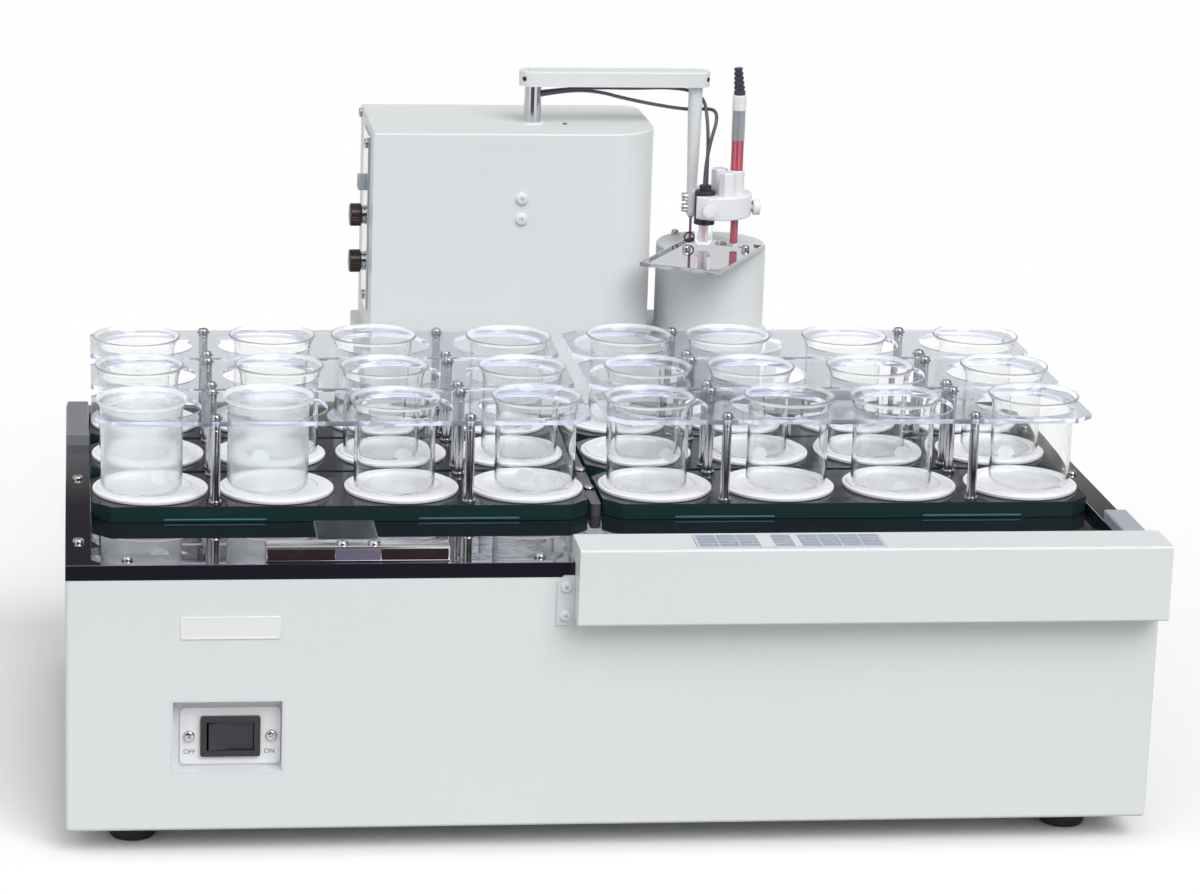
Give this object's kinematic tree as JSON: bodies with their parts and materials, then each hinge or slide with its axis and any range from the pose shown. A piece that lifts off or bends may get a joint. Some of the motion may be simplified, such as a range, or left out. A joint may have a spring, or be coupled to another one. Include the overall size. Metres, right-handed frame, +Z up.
{
  "type": "automatic titrator sample changer",
  "caption": "Bench titration sample changer: racks of glass beakers on a low casing, with a rear tower whose arm lifts and swings two electrodes over them.",
  "frame": {"origin": "middle of the bounding box's underside, on the bench", "axes": "+X to the right seen from the front, +Y to the back, +Z up"},
  "size_m": [0.67, 0.505, 0.4193],
  "materials": {
    "white_paint": "satin off-white powder coat",
    "grey_white_paint": "satin light grey paint",
    "black_rubber": "matt black",
    "black_deck": "polished black",
    "dark_grey_plastic": "satin dark grey",
    "chrome_screws": "bright plated",
    "black_plastic": "satin black",
    "steel_bar": "brushed stainless",
    "white_plastic": "milky white fluoropolymer",
    "bright_plate": "fine brushed stainless",
    "mirror_steel": "mirror polished stainless",
    "motor_metal": "black painted housings",
    "board_green": "solder mask green",
    "aluminium_block": "machined",
    "clear_glass": "clear borosilicate glass",
    "red_filled_glass": "clear glass with a red filling",
    "grey_plastic": "translucent grey and white",
    "lead_jacket": "dark grey-green jacket",
    "black_tray": "polished black, green-black edge",
    "white_seat": "satin white",
    "clear_acrylic": "clear sheet with a bluish edge"
  },
  "bodies": {
    "frame": {"casing_shell": "white_paint", "rubber_feet": "black_rubber", "deck_rails": "black_deck", "deck_floor": "black_deck", "divider_bar": "dark_grey_plastic", "pan_head_screws": "chrome_screws", "switch_pan": "white_paint", "switch_plate": "white_paint", "switch_bezel": "black_plastic", "control_panel": "white_paint", "panel_bracket": "white_paint", "side_pusher_bars": "steel_bar", "rear_pedestal": "white_paint", "tower_shell": "white_paint", "post_bushing": "white_plastic", "connector_plate": "bright_plate", "connector_cores": "chrome_screws", "rinse_housing": "grey_white_paint", "drip_tray": "mirror_steel", "stepper_motors": "motor_metal", "guide_rods": "chrome_screws", "power_supply": "motor_metal", "control_board": "board_green"},
    "rocker": {"power_rocker": "black_plastic"},
    "front_pusher": {"front_pusher_bar": "steel_bar", "front_pusher_hook": "black_plastic"},
    "rear_pusher": {"rear_pusher": "steel_bar"},
    "left_front_rack": {"left_front_trays": "black_tray", "left_front_seats": "white_seat", "left_front_posts": "chrome_screws", "left_front_covers": "clear_acrylic"},
    "left_front_beakers": {"left_front_beakers": "clear_glass"},
    "left_rear_racks": {"left_rear_trays": "black_tray", "left_rear_seats": "white_seat", "left_rear_posts": "chrome_screws", "left_rear_covers": "clear_acrylic"},
    "left_rear_beakers": {"left_rear_beakers": "clear_glass"},
    "right_racks": {"right_trays": "black_tray", "right_seats": "white_seat", "right_posts": "chrome_screws", "right_covers": "clear_acrylic", "right_beakers": "clear_glass"},
    "upper_ring": {"connector_ring_upper": "black_plastic"},
    "lower_ring": {"connector_ring_lower": "black_plastic"},
    "lift": {"lift_carriage": "aluminium_block"},
    "lift_drive": {"lift_screw": "steel_bar"},
    "arm": {"support_post": "chrome_screws", "arm_bar": "white_paint", "drop_rod": "white_paint", "electrode_holder": "white_plastic", "holder_nuts": "white_plastic", "electrode_cap": "black_plastic", "electrode_glass": "clear_glass", "probe_glass": "red_filled_glass", "probe_connector": "grey_plastic", "probe_boot": "black_rubber", "electrode_lead_a": "lead_jacket", "electrode_lead_b": "lead_jacket"},
    "front_knob": {"thumbscrew_front": "white_plastic"},
    "side_knob": {"thumbscrew_side": "white_plastic"}
  },
  "joints": [
    {"name": "power_switch", "type": "hinge", "parent": "frame", "child": "rocker", "pos_m": [-0.2354, -0.222, 0.0737], "axis": [0, 0, 1], "range_deg": [-14, 0]},
    {"name": "front_push", "type": "slide", "parent": "frame", "child": "front_pusher", "axis": [0, 1, 0], "range_m": [0, 0.045]},
    {"name": "rear_push", "type": "slide", "parent": "frame", "child": "rear_pusher", "axis": [0, -1, 0], "range_m": [0, 0.0808]},
    {"name": "right_racks_feed", "type": "slide", "parent": "frame", "child": "right_racks", "axis": [0, -1, 0], "range_m": [0, 0.0808]},
    {"name": "left_front_rack_lift", "type": "slide", "parent": "frame", "child": "left_front_rack", "axis": [0, 0, 1], "range_m": [0, 0.085]},
    {"name": "left_front_beakers_lift", "type": "slide", "parent": "left_front_rack", "child": "left_front_beakers", "axis": [0, 0, 1], "range_m": [0, 0.064]},
    {"name": "left_rear_racks_lift", "type": "slide", "parent": "frame", "child": "left_rear_racks", "axis": [0, 0, 1], "range_m": [0, 0.085]},
    {"name": "left_rear_beakers_lift", "type": "slide", "parent": "left_rear_racks", "child": "left_rear_beakers", "axis": [0, 0, 1], "range_m": [0, 0.064]},
    {"name": "arm_lift", "type": "slide", "parent": "frame", "child": "lift", "axis": [0, 0, 1], "range_m": [0, 0.08]},
    {"name": "lift_screw_turn", "type": "hinge", "parent": "frame", "child": "lift_drive", "pos_m": [-0.01, 0.215, 0.3], "axis": [0, 0, 1], "range_deg": [0, 3600]},
    {"name": "arm_swing", "type": "hinge", "parent": "lift", "child": "arm", "pos_m": [-0.01, 0.1805, 0.4], "axis": [0, 0, 1], "range_deg": [-60, 0]},
    {"name": "front_knob_turn", "type": "hinge", "parent": "arm", "child": "front_knob", "pos_m": [0.1119, 0.1505, 0.3209], "axis": [0, -1, 0], "continuous": true},
    {"name": "side_knob_turn", "type": "hinge", "parent": "arm", "child": "side_knob", "pos_m": [0.147, 0.1667, 0.3199], "axis": [1, 0, 0], "continuous": true},
    {"name": "upper_ring_turn", "type": "hinge", "parent": "frame", "child": "upper_ring", "pos_m": [-0.131, 0.1875, 0.3095], "axis": [-1, 0, 0], "continuous": true},
    {"name": "lower_ring_turn", "type": "hinge", "parent": "frame", "child": "lower_ring", "pos_m": [-0.131, 0.1875, 0.2763], "axis": [-1, 0, 0], "continuous": true}
  ],
  "couplings": [
    {"joint": "right_racks_feed", "follows": "rear_push", "ratio": 1},
    {"joint": "lift_screw_turn", "follows": "arm_lift", "rad_per_m": 785.4}
  ]
}
